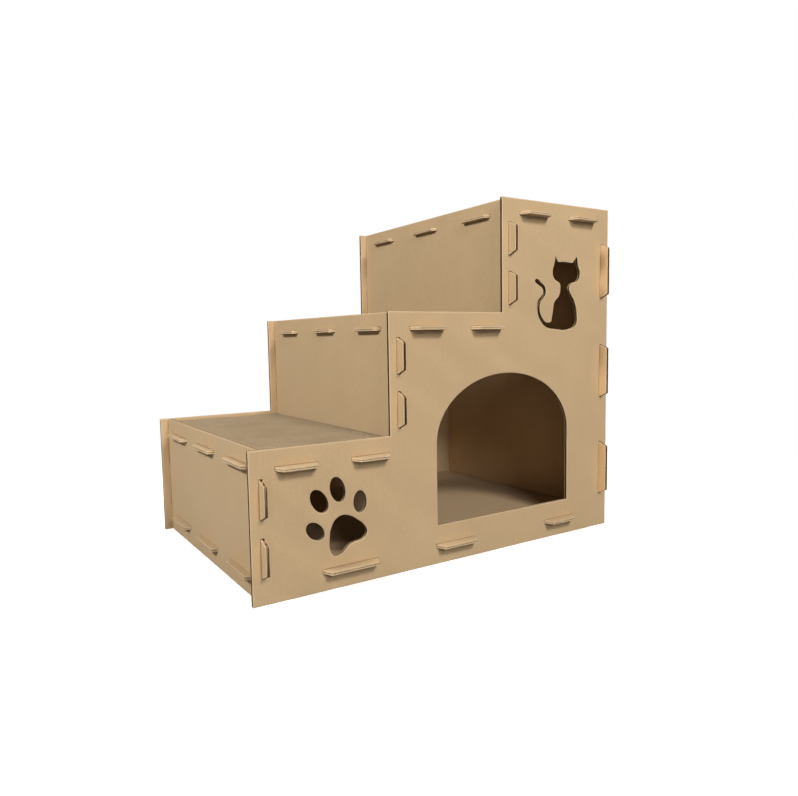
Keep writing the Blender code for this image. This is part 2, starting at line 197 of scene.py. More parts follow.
class Graph(SocketTree):
    """A material's node tree."""

    def __init__(self, name: str) -> None:
        """Start an empty material.

        Args:
            name: The material's name.
        """
        self.material = bpy.data.materials.new(name)
        self.material.use_nodes = True
        super().__init__(self.material.node_tree)
        self.tree.nodes.clear()

    def place(self) -> Socket:
        """Object coordinates, which are the house's own metres."""
        return self.node("ShaderNodeTexCoord").outputs["Object"]

    def stretched(self, scale: Vector) -> Socket:
        """Object coordinates drawn out by a different factor along each axis."""
        mapping = self.node("ShaderNodeMapping", {"Vector": self.place(), "Scale": tuple(scale)})
        return mapping.outputs["Vector"]

    def noise(
        self, scale: float, detail: float = 2.0, roughness: float = 0.5, vector: Socket | None = None
    ) -> Socket:
        """Soft random values around 0.5.

        Args:
            scale: Cells per metre, or per unit of the given vector.
            detail: Octaves of finer noise.
            roughness: Strength of the finer octaves.
            vector: Coordinates to read, or None for Object coordinates.

        Returns:
            The value socket.
        """
        source = self.place() if vector is None else vector
        node = self.node(
            "ShaderNodeTexNoise",
            {"Vector": source, "Scale": scale, "Detail": detail, "Roughness": roughness},
        )
        return node.outputs["Fac"]

    def mix(self, share: object, first: object, second: object) -> Socket:
        """Blend two colours, the Mix node's sockets 6 and 7, by a share from 0 to 1."""
        node = self.node("ShaderNodeMix", {0: share, 6: first, 7: second}, data_type="RGBA")
        return node.outputs[2]

    def shade(self, colour: Socket, factor: object) -> Socket:
        """Make a colour darker or lighter.

        Args:
            colour: The colour.
            factor: Its factor, around 1.

        Returns:
            The new colour.
        """
        grey = self.output("ShaderNodeCombineColor", {"Red": factor, "Green": factor, "Blue": factor})
        node = self.node(
            "ShaderNodeMix", {0: 1.0, 6: colour, 7: grey}, data_type="RGBA", blend_type="MULTIPLY"
        )
        return node.outputs[2]

    def bump(
        self, height: Socket, distance: float, strength: float = 1.0, under: Socket | None = None
    ) -> Socket:
        """Raise a surface's shading by a height from 0 to 1.

        Args:
            height: The height.
            distance: How many metres a height of 1 stands for.
            strength: Share of the effect.
            under: Normal of a bump below this one, or None.

        Returns:
            The normal.
        """
        inputs: Inputs = {"Height": height, "Distance": distance, "Strength": strength}
        if under is not None:
            inputs["Normal"] = under
        return self.node("ShaderNodeBump", inputs).outputs["Normal"]

    def finish(
        self,
        colour: Socket,
        roughness: object,
        normal: Socket | None,
        specular: float,
        sheen: float = 0.0,
    ) -> Material:
        """End the tree in a paper surface.

        Args:
            colour: Base colour.
            roughness: Roughness, as a socket or a number.
            normal: Bumped normal, or None.
            specular: Strength of the surface reflection.
            sheen: Strength of the dusty edge light.

        Returns:
            The material.
        """
        inputs: Inputs = {
            "Base Color": colour,
            "Roughness": roughness,
            "Specular IOR Level": specular,
            "Sheen Weight": sheen,
        }
        if normal is not None:
            inputs["Normal"] = normal
        shader = self.output("ShaderNodeBsdfPrincipled", inputs)
        self.node("ShaderNodeOutputMaterial", {"Surface": shader})
        return self.material


@dataclass(frozen=True)
class KraftLiner:
    """Brown liner paper: mottled, fibrous and flecked, with faint flute lines and scuffed rims."""

    name: str
    across: Axis
    colour: Colour = tone(0.535, 0.374, 0.204)
    dark: Colour = tone(0.430, 0.288, 0.150)
    pale: Colour = tone(0.630, 0.468, 0.288)
    fleck: Colour = tone(0.250, 0.155, 0.080)
    pitch: float = FLUTE_PITCH
    roughness: float = 0.86
    relief: float = 0.00005

    def material(self) -> Material:
        """Build the paper.

        Returns:
            The material, whose flute lines repeat along the across axis.
        """
        graph = Graph(self.name)
        along = self.across.vector
        even = Vector((1.0, 1.0, 1.0))
        fibre_scale = even * 1500.0 - along * 1330.0
        cross_scale = even * 210.0 + along * 1500.0
        # Clouds, patches and grain, then the long fibres of both directions
        cloud = graph.spread(graph.noise(6.0, 3.0, 0.55), 0.36, 0.64, 0.0, 1.0)
        patch = graph.spread(graph.noise(34.0, 4.0, 0.62), 0.33, 0.67, 0.0, 1.0)
        grain = graph.spread(graph.noise(420.0, 3.0, 0.6), 0.32, 0.68, 0.0, 1.0)
        fibre = graph.noise(1.0, 2.0, 0.6, graph.stretched(fibre_scale))
        strand = graph.noise(1.0, 2.0, 0.6, graph.stretched(cross_scale))
        # The paper's brown, mottled by all of them, with dark flecks
        colour = graph.mix(graph.spread(cloud, 0.0, 1.0, 0.02, 0.26), self.colour, self.dark)
        colour = graph.mix(graph.times(patch, 0.14), colour, self.pale)
        colour = graph.mix(graph.spread(fibre, 0.54, 0.72, 0.0, 0.42), colour, self.pale)
        colour = graph.mix(graph.spread(strand, 0.56, 0.74, 0.0, 0.34), colour, self.dark)
        flecks = graph.noise(950.0, 1.0, 0.4)
        colour = graph.mix(graph.spread(flecks, 0.715, 0.760, 0.0, 0.75), colour, self.fleck)
        colour = graph.shade(colour, graph.spread(grain, 0.0, 1.0, 0.965, 1.03))
        # The flutes below the paper, and pale scuffs where the rim attribute says so
        ridges = self.flute_lines(graph)
        colour = graph.shade(colour, graph.spread(ridges, -1.0, 1.0, 0.991, 1.009))
        rim = graph.node("ShaderNodeAttribute", attribute_name="rim").outputs["Fac"]
        scuffed = graph.times(rim, graph.spread(patch, 0.0, 1.0, 0.25, 0.75))
        colour = graph.mix(scuffed, colour, self.pale)
        half_grain = graph.times(grain, 0.5)
        height = graph.math("ADD", half_grain, graph.times(fibre, 0.5))
        relief = graph.bump(height, self.relief)
        waves = graph.spread(ridges, -1.0, 1.0, 0.0, 1.0)
        washboard = graph.bump(waves, self.relief, 0.7, relief)
        rough = graph.spread(patch, 0.0, 1.0, self.roughness - 0.05, self.roughness + 0.07)
        return graph.finish(colour, rough, washboard, specular=0.28, sheen=0.05)

    def flute_lines(self, graph: Graph) -> Socket:
        """The medium's crests, faintly seen through the paper, stronger in some places.

        Args:
            graph: The paper's tree.

        Returns:
            A wave from about -1 to 1.
        """
        split = graph.node("ShaderNodeSeparateXYZ", {0: graph.place()})
        place = split.outputs[self.across.name]
        wave = graph.math("SINE", graph.times(place, math.tau / self.pitch))
        strength = graph.spread(graph.noise(11.0, 2.0), 0.38, 0.66, 0.15, 1.0)
        return graph.times(wave, strength)


@dataclass(frozen=True)
class RawPaper:
    """Paper without a smooth face: a board's medium, a strip's wall, or a cut and fuzzy edge."""

    name: str
    colour: Colour
    dark: Colour
    fuzz_scale: float = 1400.0
    fuzz: float = 0.10
    relief: float = 0.00006

    def material(self) -> Material:
        """Build the paper.

        Returns:
            The material.
        """
        graph = Graph(self.name)
        cloud = graph.spread(graph.noise(22.0, 3.0, 0.6), 0.34, 0.66, 0.0, 0.55)
        fuzz = graph.noise(self.fuzz_scale, 3.0, 0.65)
        colour = graph.mix(cloud, self.colour, self.dark)
        colour = graph.shade(colour, graph.spread(fuzz, 0.3, 0.7, 1.0 - self.fuzz, 1.0 + self.fuzz))
        rough = graph.spread(fuzz, 0.3, 0.7, 0.86, 1.0)
        return graph.finish(colour, rough, graph.bump(fuzz, self.relief), specular=0.15, sheen=0.08)


FRONT_LINER = KraftLiner("front_liner", Axis.X)
SIDE_LINER = KraftLiner("side_liner", Axis.Y)
# Darker copy of the kraft for the flat boards: painted shade that dims the lit tops and the undersides
# of the steps and their tabs
FLAT_PAINTED_SHADE_LINER = KraftLiner(
    "flat_liner",
    Axis.X,
    colour=tone(0.468, 0.322, 0.174),
    dark=tone(0.376, 0.250, 0.129),
    pale=tone(0.530, 0.390, 0.235),
)
# Lighter, warmer copy of the kraft for the faces turned into the house: painted light that lifts the
# dim inside
INSIDE_PAINTED_LIGHT_LINER = KraftLiner(
    "inner_liner",
    Axis.Y,
    colour=tone(0.680, 0.460, 0.235),
    dark=tone(0.590, 0.385, 0.185),
    pale=tone(0.740, 0.530, 0.310),
)
CUT_EDGE = RawPaper("cut_edge", tone(0.620, 0.450, 0.270), tone(0.520, 0.365, 0.205))
# The medium's brown is deepened: painted shade in the channels and slits that show at cut edges
FLUTED_PAPER_PAINTED_SHADE = RawPaper("fluted_paper", tone(0.340, 0.215, 0.105), tone(0.250, 0.150, 0.070))
STRIP_WALL = RawPaper("strip_wall", tone(0.285, 0.206, 0.118), tone(0.226, 0.160, 0.085))
STRIP_EDGE = RawPaper(
    "strip_edge",
    tone(0.355, 0.262, 0.158),
    tone(0.280, 0.202, 0.116),
    fuzz_scale=1900.0,
    fuzz=0.22,
    relief=0.00012,
)


@dataclass(frozen=True)
class StudioPaper:
    """Pale floor that keeps the house's shadow and fades into the white behind it."""

    colour: Colour = tone(0.93, 0.93, 0.93)
    bounce: Colour = tone(0.18, 0.18, 0.18)
    lift: float = 0.34
    fade_from: float = 0.50
    fade_to: float = 1.10

    def material(self) -> Material:
        """Build the floor.

        Returns:
            The material.
        """
        graph = Graph("studio_floor")
        seen = seen_directly(graph)
        shown = graph.mix(seen, self.bounce, self.colour)
        paper = graph.output("ShaderNodeBsdfDiffuse", {"Color": shown})
        lifted = graph.output("ShaderNodeEmission", {"Strength": graph.times(seen, self.lift)})
        paper = graph.output("ShaderNodeAddShader", {0: paper, 1: lifted})
        white = graph.output("ShaderNodeEmission", {"Color": tone(1.0, 1.0, 1.0), "Strength": 1.0})
        distance = graph.node(
            "ShaderNodeVectorMath", {0: graph.place()}, operation="LENGTH"
        ).outputs["Value"]
        faded = graph.spread(distance, self.fade_from, self.fade_to, 0.0, 1.0)
        share = graph.times(faded, seen)
        mixed = graph.output("ShaderNodeMixShader", {0: share, 1: paper, 2: white})
        graph.node("ShaderNodeOutputMaterial", {"Surface": mixed})
        return graph.material


class ShapeTree(SocketTree):
    """A Geometry Nodes tree with named inputs."""

    def __init__(self, name: str) -> None:
        """Start a tree that takes a geometry and gives one.

        Args:
            name: The tree's name.
        """
        super().__init__(bpy.data.node_groups.new(name, "GeometryNodeTree"))
        self.tree.is_modifier = True
        for way in ("INPUT", "OUTPUT"):
            self.tree.interface.new_socket("Geometry", in_out=way, socket_type="NodeSocketGeometry")
        self.source = self.tree.nodes.new("NodeGroupInput")
        self.result = self.tree.nodes.new("NodeGroupOutput")

    def input(self, name: str, kind: str = "Float") -> Socket:
        """Add a named input of a kind such as Float, Int or Material, and give its socket."""
        self.tree.interface.new_socket(name, in_out="INPUT", socket_type=f"NodeSocket{kind}")
        return self.source.outputs[name]

    def inputs(self, *names: str) -> list[Socket]:
        """Add inputs for numbers, and give their sockets."""
        return [self.input(name) for name in names]

    def combine(self, x: object, y: object, z: object) -> Socket:
        """A vector from three values."""
        return self.output("ShaderNodeCombineXYZ", {"X": x, "Y": y, "Z": z})

    def position(self) -> tuple[Socket, ...]:
        """The three coordinates of each point."""
        place = self.output("GeometryNodeInputPosition")
        return tuple(self.node("ShaderNodeSeparateXYZ", {0: place}).outputs)

    def wobble(self, vector: Socket, scale: float) -> Socket:
        """Smooth random values from about -0.5 to 0.5."""
        soft = self.output("ShaderNodeTexNoise", {"Vector": vector, "Scale": scale, "Detail": 1.0})
        return self.math("SUBTRACT", soft, 0.5)

    def chance(self, low: float, high: float, row: Socket, seed: object) -> Socket:
        """A random value for each row, the same on every run.

        Args:
            low: Lowest value.
            high: Highest value.
            row: The row's number.
            seed: Seed of the draw.

        Returns:
            The value socket.
        """
        node = self.node("FunctionNodeRandomValue", {"ID": row, "Seed": seed}, data_type="FLOAT")
        numbers = {socket.name: socket for socket in node.inputs if socket.type == "VALUE"}
        numbers["Min"].default_value = low
        numbers["Max"].default_value = high
        return next(socket for socket in node.outputs if socket.type == "VALUE")

    def shift(self, geometry: Socket, offset: Socket) -> Socket:
        """Move each point by a vector."""
        return self.output("GeometryNodeSetPosition", {"Geometry": geometry, "Offset": offset})

    def joined(self, first: Socket, second: Socket) -> Socket:
        """Two geometries as one.

        Args:
            first: One geometry.
            second: The other.

        Returns:
            Both together.
        """
        both = self.node("GeometryNodeJoinGeometry")
        for geometry in (first, second):
            self.tree.links.new(geometry, both.inputs[0])
        return both.outputs[0]

    def finish(self, geometry: Socket, cut_faces: Socket) -> None:
        """End the tree: smooth and realize, then its input Medium all over and Cut on the cuts.

        Args:
            geometry: What the tree made.
            cut_faces: Which faces are cut.
        """
        medium, cut = self.input("Medium", "Material"), self.input("Cut", "Material")
        smooth = self.output("GeometryNodeSetShadeSmooth", {"Geometry": geometry})
        whole = self.output("GeometryNodeRealizeInstances", {"Geometry": smooth})
        dressed = self.output("GeometryNodeSetMaterial", {"Geometry": whole, "Material": medium})
        done = self.output(
            "GeometryNodeSetMaterial", {"Geometry": dressed, "Selection": cut_faces, "Material": cut}
        )
        self.tree.links.new(done, self.result.inputs["Geometry"])

    def grow(self, start: Mesh, **values: object) -> Mesh:
        """Run the tree on a mesh.

        Args:
            start: The mesh that goes in.
            values: A value for each named input.

        Returns:
            The plain mesh that comes out.
        """
        names = {
            item.name: item.identifier
            for item in self.tree.interface.items_tree
            if item.item_type == "SOCKET" and item.in_out == "INPUT"
        }
        carrier = put_in_scene(f"{self.tree.name}_carrier", start)
        modifier = carrier.modifiers.new("grow", "NODES")
        modifier.node_group = self.tree
        for name, value in values.items():
            modifier[names[name]] = value
        graph = bpy.context.evaluated_depsgraph_get()
        made = bpy.data.meshes.new_from_object(
            carrier.evaluated_get(graph), preserve_all_data_layers=True, depsgraph=graph
        )
        bpy.data.objects.remove(carrier)
        return made


def renumber(mesh: Mesh, slots: Sequence[Material]) -> None:
    """Give a mesh's faces the numbers that their materials have in a list of slots.

    Args:
        mesh: A mesh whose own slots hold some of those materials, and maybe an empty one.
        slots: The list.
    """
    known = np.array([0 if own is None else list(slots).index(own) for own in mesh.materials])
    numbers = np.zeros(len(mesh.polygons), dtype=np.int32)
    mesh.polygons.foreach_get("material_index", numbers)
    mesh.materials.clear()
    for slot in slots:
        mesh.materials.append(slot)
    mesh.polygons.foreach_set("material_index", known[numbers].astype(np.int32))


class FluteTree(ShapeTree):
    """The fluted medium of a board: a flat sheet in columns becomes a wave with a thickness.

    Its inputs are Pitch, Height, Paper, Phase, Medium and Cut.
    """

    drift_scale: float = 14.0
    drift_turns: float = 0.35

    def __init__(self) -> None:
        """Build the tree."""
        super().__init__("fluted_medium")
        pitch, height, paper, phase = self.inputs("Pitch", "Height", "Paper", "Phase")
        x, y, _ = self.position()
        drift = self.wobble(self.combine(x, y, phase), self.drift_scale)
        drift = self.times(drift, self.drift_turns)
        turns = self.math("ADD", self.math("DIVIDE", x, pitch), drift)
        angle = self.math("ADD", self.times(turns, math.tau), phase)
        rise = self.times(self.math("SINE", angle), height)
        wave = self.shift(self.source.outputs["Geometry"], self.combine(0.0, 0.0, rise))
        thick = self.node(
            "GeometryNodeExtrudeMesh", {"Mesh": wave, "Offset Scale": paper, "Individual": False}
        )
        under = self.output("GeometryNodeFlipFaces", {"Mesh": wave})
        both = self.joined(thick.outputs["Mesh"], under)
        closed = self.output("GeometryNodeMergeByDistance", {"Geometry": both, "Distance": WELD / 10})
        self.finish(closed, thick.outputs["Side"])


class StripTree(ShapeTree):
    """A scratch pad: waves and straight liners side by side, standing on edge.

    Its inputs are Width, Length, Height, Strip, Pitch, Wave, Paper, Ragged, Seed, Medium and Cut.
    Its bends are in papers, and its torn tops and short ends in Ragged.
    """

    steps_per_wave: float = 8.0
    liner_points: int = 98
    wave_drift: float = 5.0
    wave_drift_scale: float = 9.0
    wave_drift_step: float = 3.7
    liner_bend: float = 1.1
    liner_bend_scale: float = 30.0
    liner_bend_step: float = 5.3
    tear_scale: float = 900.0
    tear_depth: float = -2.0
    shortest_end: float = -2.4
    end_share: float = 0.4995
    facing_up: float = 0.75

    def __init__(self) -> None:
        """Build the tree."""
        super().__init__("scratch_strips")
        self.width, self.length, self.height = self.inputs("Width", "Length", "Height")
        self.strip, self.pitch, self.wave = self.inputs("Strip", "Pitch", "Wave")
        self.paper, self.ragged = self.inputs("Paper", "Ragged")
        self.seed = self.input("Seed", "Int")
        self.count = self.math("FLOOR", self.math("DIVIDE", self.width, self.strip))
        self.liner = self.times(self.paper, 2.0)
        self.spacing = self.math("DIVIDE", self.math("SUBTRACT", self.width, self.liner), self.count)
        self.middle = self.times(self.height, 0.5)
        self.left = self.times(self.width, -0.5)
        both = self.joined(self.waves(), self.liners())
        normal = self.output("GeometryNodeInputNormal")
        upward = self.node("ShaderNodeSeparateXYZ", {0: normal}).outputs["Z"]
        self.finish(both, self.math("GREATER_THAN", upward, self.facing_up))

    def rows(
        self, number: object, first: object, thick: object, points: object
    ) -> tuple[Socket, Socket]:
        """Boxes in a row, cut into columns.

        Args:
            number: How many boxes.
            first: Where the first one stands, along X.
            thick: Their thickness.
            points: Points along each box.

        Returns:
            The boxes, and each one's number in the row.
        """
        line = self.output(
            "GeometryNodeMeshLine",
            {
                "Count": number,
                "Start Location": self.combine(first, 0.0, self.middle),
                "Offset": self.combine(self.spacing, 0.0, 0.0),
            },
        )
        index = self.output("GeometryNodeInputIndex")
        numbered = self.output(
            "GeometryNodeStoreNamedAttribute",
            {"Geometry": line, "Name": "row", "Value": index},
            data_type="INT",
            domain="POINT",
        )
        size = self.combine(thick, self.length, self.height)
        box = self.node(
            "GeometryNodeMeshCube",
            {"Size": size, "Vertices X": 2, "Vertices Y": points, "Vertices Z": 2},
        ).outputs["Mesh"]
        placed = self.output("GeometryNodeInstanceOnPoints", {"Points": numbered, "Instance": box})
        whole = self.output("GeometryNodeRealizeInstances", {"Geometry": placed})
        row = self.output("GeometryNodeInputNamedAttribute", {"Name": "row"}, data_type="INT")
        return whole, row

    def sway(self, row: Socket, step: float, scale: float, strength: object) -> Socket:
        """Smooth noise along the pad, of its own in each row.

        Args:
            row: The row's number.
            step: How far apart two rows read the noise.
            scale: Cells per metre.
            strength: What the noise is multiplied by.

        Returns:
            The value socket.
        """
        _, y, _ = self.position()
        place = self.combine(self.times(row, step), y, 0.0)
        return self.times(self.wobble(place, scale), strength)

    def roughen(self, geometry: Socket, row: Socket, sideways: Socket) -> Socket:
        """Sway the columns sideways, and leave the sawn ends and tops uneven.

        Args:
            geometry: The boxes.
            row: Each one's number.
            sideways: How far each point moves along X.

        Returns:
            The roughened boxes.
        """
        x, y, z = self.position()
        high = self.math("GREATER_THAN", z, self.middle)
        tear = self.math("ABSOLUTE", self.wobble(self.combine(x, y, row), self.tear_scale))
        drop = self.times(self.times(tear, high), self.ragged)
        fall = self.times(drop, self.tear_depth)
        end = self.times(self.length, self.end_share)
        at_end = self.math("GREATER_THAN", self.math("ABSOLUTE", y), end)
        inward = self.times(self.math("SIGN", y), at_end)
        uneven = self.chance(self.shortest_end, 0.0, row, self.seed)
        short = self.times(inward, self.times(uneven, self.ragged))
        return self.shift(geometry, self.combine(sideways, short, fall))

    def waves(self) -> Socket:
        """The fluted sheets, one in each strip.

        Returns:
            Their geometry.
        """
        turns = self.math("DIVIDE", self.length, self.pitch)
        steps = self.math("ROUND", self.times(turns, self.steps_per_wave))
        half_spacing = self.times(self.spacing, 0.5)
        first = self.math("ADD", self.left, self.math("ADD", self.paper, half_spacing))
        boxes, row = self.rows(self.count, first, self.paper, self.math("ADD", steps, 1.0))
        _, y, _ = self.position()
        drift = self.sway(row, self.wave_drift_step, self.wave_drift_scale, self.wave_drift)
        along = self.times(self.math("DIVIDE", y, self.pitch), math.tau)
        phase = self.math("ADD", drift, self.chance(0.0, math.tau, row, self.seed))
        swing = self.math("SINE", self.math("ADD", along, phase))
        return self.roughen(boxes, row, self.times(swing, self.wave))

    def liners(self) -> Socket:
        """The straight sheets between the waves. The two outermost ones stay flat.

        Returns:
            Their geometry.
        """
        first = self.math("ADD", self.left, self.paper)
        number = self.math("ADD", self.count, 1.0)
        boxes, row = self.rows(number, first, self.liner, self.liner_points)
        most = self.times(self.paper, self.liner_bend)
        bend = self.sway(row, self.liner_bend_step, self.liner_bend_scale, most)
        x, _, _ = self.position()
        border = self.math("SUBTRACT", self.times(self.width, 0.5), self.strip)
        inner = self.math("LESS_THAN", self.math("ABSOLUTE", x), border)
        return self.roughen(boxes, row, self.times(bend, inner))


@dataclass(frozen=True)
class RimStep:
    """One step of a crushed rim: how far in it lies, its share of the crush, and its wear."""

    inset: float
    drop: float
    wear: float


def ripple(x: float, y: float, scale: float, seed: float) -> float:
    """Smooth noise from -1 to 1 over a board's plane."""
    return noise.noise(Vector((x * scale, y * scale, seed)))


def unit(vectors: np.ndarray) -> np.ndarray:
    """Each row of an array, scaled to length 1."""
    return vectors / np.maximum(np.linalg.norm(vectors, axis=1, keepdims=True), 1e-12)


def inset(loop: Loop, distance: float) -> Loop:
    """Move a closed loop towards its left side, mitred at the corners.

    Args:
        loop: Points of the loop, with the board on its left.
        distance: How far each side moves.

    Returns:
        The moved points.
    """
    ahead = unit(np.roll(loop, -1, 0) - loop)
    behind = np.roll(ahead, 1, 0)
    left_ahead = np.stack([-ahead[:, 1], ahead[:, 0]], 1)
    left_behind = np.stack([-behind[:, 1], behind[:, 0]], 1)
    mitre = left_ahead + left_behind
    spread = np.maximum(1.0 + (left_ahead * left_behind).sum(1, keepdims=True), SHARPEST_MITRE)
    return loop + distance * mitre / spread


def divided(loop: Loop, longest: float) -> Loop:
    """Cut the sides of a loop into pieces.

    Args:
        loop: Corners of the loop.
        longest: The longest that a piece may be.

    Returns:
        The loop with more points.
    """
    points: list[np.ndarray] = []
    for start, end in zip(loop, np.roll(loop, -1, 0)):
        pieces = max(1, math.ceil(float(np.linalg.norm(end - start)) / longest))
        points += [start + (end - start) * step / pieces for step in range(pieces)]
    return np.array(points)


def column_sheet(loops: Sequence[Loop], step: float, snaps: int = 8) -> Mesh:
    """A flat sheet inside some loops, cut into narrow columns that a wave can bend.

    Args:
        loops: Outline and holes.
        step: Width of a column.
        snaps: Places across a column that a corner can move to.

    Returns:
        A mesh of four sided faces, each within one column.
    """
    snap = step / snaps
    starts = np.concatenate(loops)
    ends = np.concatenate([np.roll(loop, -1, 0) for loop in loops])
    starts[:, 0] = np.round(starts[:, 0] / snap) * snap
    ends[:, 0] = np.round(ends[:, 0] / snap) * snap
    swap = starts[:, 0] > ends[:, 0]
    starts[swap], ends[swap] = ends[swap], starts[swap].copy()
    sloped = ends[:, 0] - starts[:, 0] > snap / 2
    starts, ends = starts[sloped], ends[sloped]
    low, high = starts[:, 0].min(), ends[:, 0].max()
    regular = np.arange(math.ceil(low / step), math.floor(high / step) + 1) * step
    cuts = np.unique(np.round(np.concatenate([regular, starts[:, 0], ends[:, 0]]) / snap)) * snap
    slope = (ends[:, 1] - starts[:, 1]) / (ends[:, 0] - starts[:, 0])
    corners: list[tuple[float, float, float]] = []
    for left, right in zip(cuts[:-1], cuts[1:]):
        middle = (left + right) / 2
        crossing = np.flatnonzero((starts[:, 0] < middle) & (ends[:, 0] > middle))
        base, rise = starts[crossing], slope[crossing]
        order = np.argsort(base[:, 1] + rise * (middle - base[:, 0]))
        at_left = (base[:, 1] + rise * (left - base[:, 0]))[order]
        at_right = (base[:, 1] + rise * (right - base[:, 0]))[order]
        for lower in range(0, len(order) - 1, 2):
            corners += [
                (left, at_left[lower], 0.0), (right, at_right[lower], 0.0),
                (right, at_right[lower + 1], 0.0), (left, at_left[lower + 1], 0.0),
            ]
    faces = [tuple(range(first, first + 4)) for first in range(0, len(corners), 4)]
    sheet = bpy.data.meshes.new("columns")
    sheet.from_pydata(corners, [], faces)
    bm = bmesh.new()
    bm.from_mesh(sheet)
    bmesh.ops.remove_doubles(bm, verts=bm.verts, dist=WELD / 10)
    bm.to_mesh(sheet)
    bm.free()
    return sheet


@dataclass
class BoardPapers:
    """The papers that the boards share."""

    liners: dict[tuple[Axis, Axis], Material]
    # The lighter liner of the faces turned into the house, painted light
    inner_liner: Material
    cut: Material
    medium: Material
    flutes: FluteTree

    @classmethod
    def make(cls) -> BoardPapers:
        """Make them all.

        Returns:
            The papers, where a liner is found by its board's across and run axes.
        """
        cut, medium = CUT_EDGE.material(), FLUTED_PAPER_PAINTED_SHADE.material()
        liners = {
            (Axis.X, Axis.Z): FRONT_LINER.material(),
            (Axis.Y, Axis.Z): SIDE_LINER.material(),
            # Flat boards take the darker liner of painted shade
            (Axis.X, Axis.Y): FLAT_PAINTED_SHADE_LINER.material(),
        }
        return cls(liners, INSIDE_PAINTED_LIGHT_LINER.material(), cut, medium, FluteTree())


class HousePiece:
    """A piece that stands for one of the frame's CAD nodes and rides on its body."""

    node: str
    body: str
    slot: str

    def dress(self, piece: Object) -> None:
        """Put the finished piece on its body, hide its CAD node, and report it.

        Args:
            piece: The finished piece.
        """
        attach(piece, self.body)
        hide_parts(self.node)
        LOG.info("%s: %d faces on %s", piece.name, len(piece.data.polygons), self.body)


